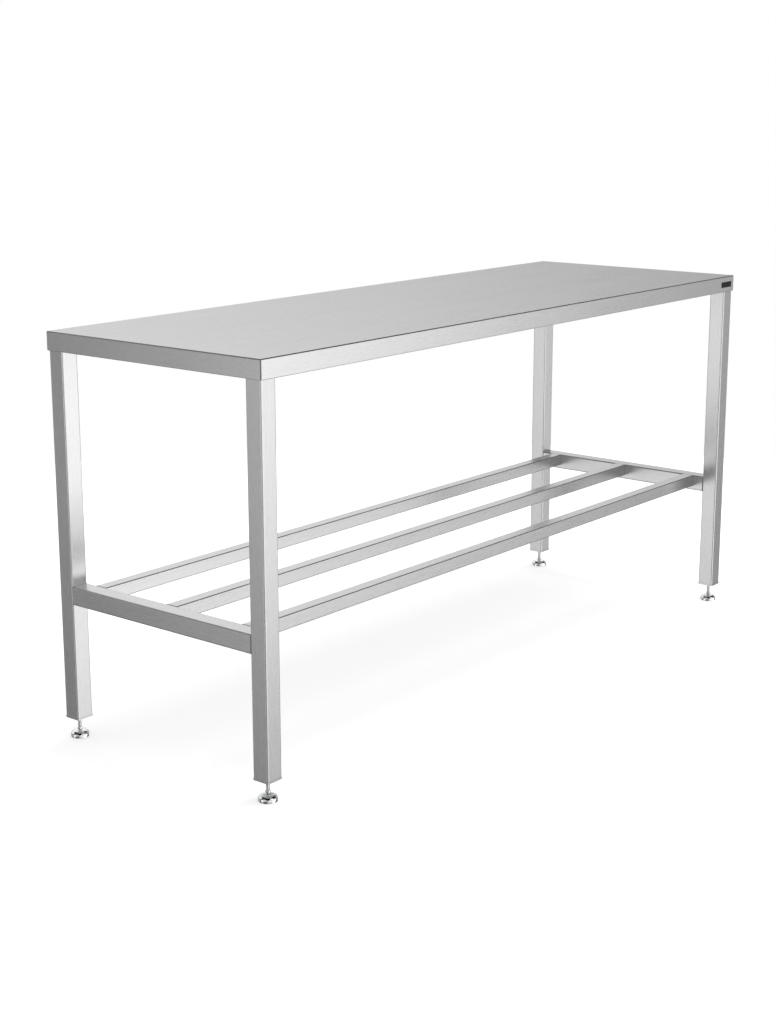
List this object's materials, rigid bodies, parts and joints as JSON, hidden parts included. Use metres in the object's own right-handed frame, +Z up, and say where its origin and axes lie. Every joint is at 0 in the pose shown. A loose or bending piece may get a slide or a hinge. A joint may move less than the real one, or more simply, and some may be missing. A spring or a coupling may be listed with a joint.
{
  "type": "stainless steel work and exam table",
  "caption": "Long fixed table of stainless steel with a folded flat top, square tube legs, a slatted undershelf and screw-in levelling feet.",
  "frame": {"origin": "on the floor, at the centre of the table's outline", "axes": "+X along the table's length, +Y from the front side to the back, +Z up"},
  "size_m": [1.8, 0.6, 0.88],
  "materials": {
    "top_steel": "fine brushed grain along the length",
    "satin_steel": "satin, grain along each tube",
    "end_plate_steel": "satin, ground edge",
    "fastener_steel": "plain stainless",
    "polished_foot": "mirror polished",
    "polished_spindle": "bright, threaded",
    "foot_pad": "matt black rubber"
  },
  "bodies": {
    "frame": {"top_sheet": "top_steel", "top_frame_front": "satin_steel", "top_frame_back": "satin_steel", "top_frame_left": "satin_steel", "top_frame_right": "satin_steel", "top_bearer_1": "satin_steel", "top_bearer_2": "satin_steel", "top_bearer_3": "satin_steel", "fixing_lugs": "satin_steel", "fixing_studs": "fastener_steel", "fixing_nuts": "fastener_steel", "leg_front_left": "satin_steel", "leg_front_right": "satin_steel", "leg_back_left": "satin_steel", "leg_back_right": "satin_steel", "end_plate_front_left": "end_plate_steel", "end_plate_front_right": "end_plate_steel", "end_plate_back_left": "end_plate_steel", "end_plate_back_right": "end_plate_steel", "foot_bush_front_left": "fastener_steel", "foot_bush_front_right": "fastener_steel", "foot_bush_back_left": "fastener_steel", "foot_bush_back_right": "fastener_steel", "cross_rail_left": "satin_steel", "cross_rail_right": "satin_steel", "shelf_rail_front": "satin_steel", "shelf_rail_middle": "satin_steel", "shelf_rail_back": "satin_steel"},
    "foot_front_left": {"foot_base_front_left": "polished_foot", "foot_ring_front_left": "fastener_steel", "foot_pad_front_left": "foot_pad"},
    "spindle_front_left": {"foot_spindle_front_left": "polished_spindle"},
    "foot_front_right": {"foot_base_front_right": "polished_foot", "foot_ring_front_right": "fastener_steel", "foot_pad_front_right": "foot_pad"},
    "spindle_front_right": {"foot_spindle_front_right": "polished_spindle"},
    "foot_back_left": {"foot_base_back_left": "polished_foot", "foot_ring_back_left": "fastener_steel", "foot_pad_back_left": "foot_pad"},
    "spindle_back_left": {"foot_spindle_back_left": "polished_spindle"},
    "foot_back_right": {"foot_base_back_right": "polished_foot", "foot_ring_back_right": "fastener_steel", "foot_pad_back_right": "foot_pad"},
    "spindle_back_right": {"foot_spindle_back_right": "polished_spindle"}
  },
  "joints": [
    {"name": "height_front_left", "type": "slide", "parent": "frame", "child": "foot_front_left", "axis": [0, 0, 1], "range_m": [0, 0.02]},
    {"name": "screw_front_left", "type": "hinge", "parent": "foot_front_left", "child": "spindle_front_left", "pos_m": [-0.8765, -0.2765, 0.0305], "axis": [0, 0, 1], "range_deg": [0, 5770]},
    {"name": "height_front_right", "type": "slide", "parent": "frame", "child": "foot_front_right", "axis": [0, 0, 1], "range_m": [0, 0.02]},
    {"name": "screw_front_right", "type": "hinge", "parent": "foot_front_right", "child": "spindle_front_right", "pos_m": [0.8765, -0.2765, 0.0305], "axis": [0, 0, 1], "range_deg": [0, 5770]},
    {"name": "height_back_left", "type": "slide", "parent": "frame", "child": "foot_back_left", "axis": [0, 0, 1], "range_m": [0, 0.02]},
    {"name": "screw_back_left", "type": "hinge", "parent": "foot_back_left", "child": "spindle_back_left", "pos_m": [-0.8765, 0.2765, 0.0305], "axis": [0, 0, 1], "range_deg": [0, 5770]},
    {"name": "height_back_right", "type": "slide", "parent": "frame", "child": "foot_back_right", "axis": [0, 0, 1], "range_m": [0, 0.02]},
    {"name": "screw_back_right", "type": "hinge", "parent": "foot_back_right", "child": "spindle_back_right", "pos_m": [0.8765, 0.2765, 0.0305], "axis": [0, 0, 1], "range_deg": [0, 5770]}
  ],
  "couplings": [
    {"joint": "screw_front_left", "follows": "height_front_left", "rad_per_m": 5026.5},
    {"joint": "screw_front_right", "follows": "height_front_right", "rad_per_m": 5026.5},
    {"joint": "screw_back_left", "follows": "height_back_left", "rad_per_m": 5026.5},
    {"joint": "screw_back_right", "follows": "height_back_right", "rad_per_m": 5026.5}
  ]
}
